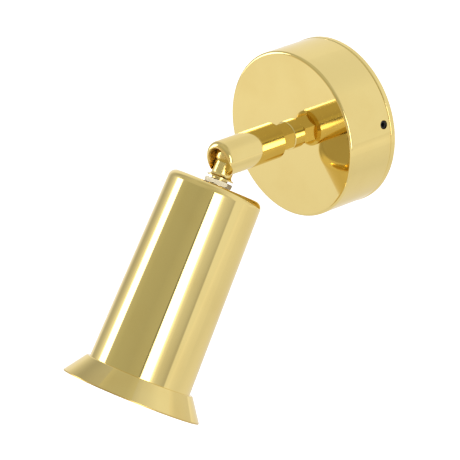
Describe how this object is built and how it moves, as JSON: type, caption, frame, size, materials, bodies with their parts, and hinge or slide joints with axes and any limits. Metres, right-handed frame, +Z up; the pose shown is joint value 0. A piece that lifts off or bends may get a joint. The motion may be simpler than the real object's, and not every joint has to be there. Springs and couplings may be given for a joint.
{
  "type": "pivoting spotlight wall light",
  "caption": "Polished brass wall spotlight: round wall cover, turning slotted ball knuckle and a tapered shade with a flared ring round a reflector lamp.",
  "frame": {"origin": "centre of the back plate's rear face, where the cable enters, on the wall", "axes": "+Y into the wall, -Y out into the room along the knuckle's arm, +Z up, +X to the right for someone who faces the wall"},
  "size_m": [0.1004, 0.2002, 0.1998],
  "materials": {
    "polished_brass": "mirror polished and lacquered",
    "raw_brass": "turned, unpolished",
    "nickel_plate": "bright nickel plate",
    "zinc_steel": "zinc plated",
    "spring_steel": "drawn spring steel",
    "black_steel": "black oxide",
    "grey_rubber": "moulded rubber",
    "white_plastic": "moulded nylon",
    "white_holder": "moulded thermoset",
    "lamp_cap_metal": "rolled thread",
    "lamp_glass": "frosted front, silvered inside"
  },
  "bodies": {
    "wall_mount": {"back_plate": "polished_brass", "cable_grommet": "grey_rubber", "terminal_block": "white_plastic", "terminal_inserts": "raw_brass", "terminal_screws": "zinc_steel", "block_screws": "zinc_steel", "earth_washer": "zinc_steel", "earth_screw": "raw_brass", "wall_cover": "polished_brass", "grub_screws": "black_steel", "swivel_collar": "polished_brass", "stop_pin": "zinc_steel", "swivel_post": "raw_brass", "friction_washer": "spring_steel", "lock_washer": "spring_steel", "nipple_nut": "raw_brass"},
    "knuckle": {"hex_plug": "polished_brass", "knuckle_housing": "polished_brass", "ball_seat": "white_plastic", "disc_springs": "spring_steel", "spring_sleeve": "zinc_steel"},
    "ball": {"swivel_ball": "polished_brass"},
    "head": {"ball_stem": "polished_brass", "top_nut": "nickel_plate", "shade_washer": "nickel_plate", "shade": "polished_brass", "shade_nut": "nickel_plate", "trim_ring": "polished_brass", "lampholder_cap": "white_holder", "lampholder_skirt": "white_holder", "holder_shell": "raw_brass", "holder_contact": "spring_steel", "lamp_contact": "nickel_plate", "lamp_cap": "lamp_cap_metal", "lamp_bulb": "lamp_glass"}
  },
  "joints": [
    {"name": "knuckle_swivel", "type": "hinge", "parent": "wall_mount", "child": "knuckle", "pos_m": [0, -0.045, 0], "axis": [0, -1, 0], "range_deg": [-160, 160]},
    {"name": "head_tilt", "type": "hinge", "parent": "knuckle", "child": "ball", "pos_m": [0, -0.08615, 0], "axis": [-1, 0, 0], "range_deg": [-31.5, 58.5]},
    {"name": "head_spin", "type": "hinge", "parent": "ball", "child": "head", "pos_m": [0, -0.08615, 0], "axis": [0, -0.5225, -0.8526], "range_deg": [-170, 170]}
  ]
}
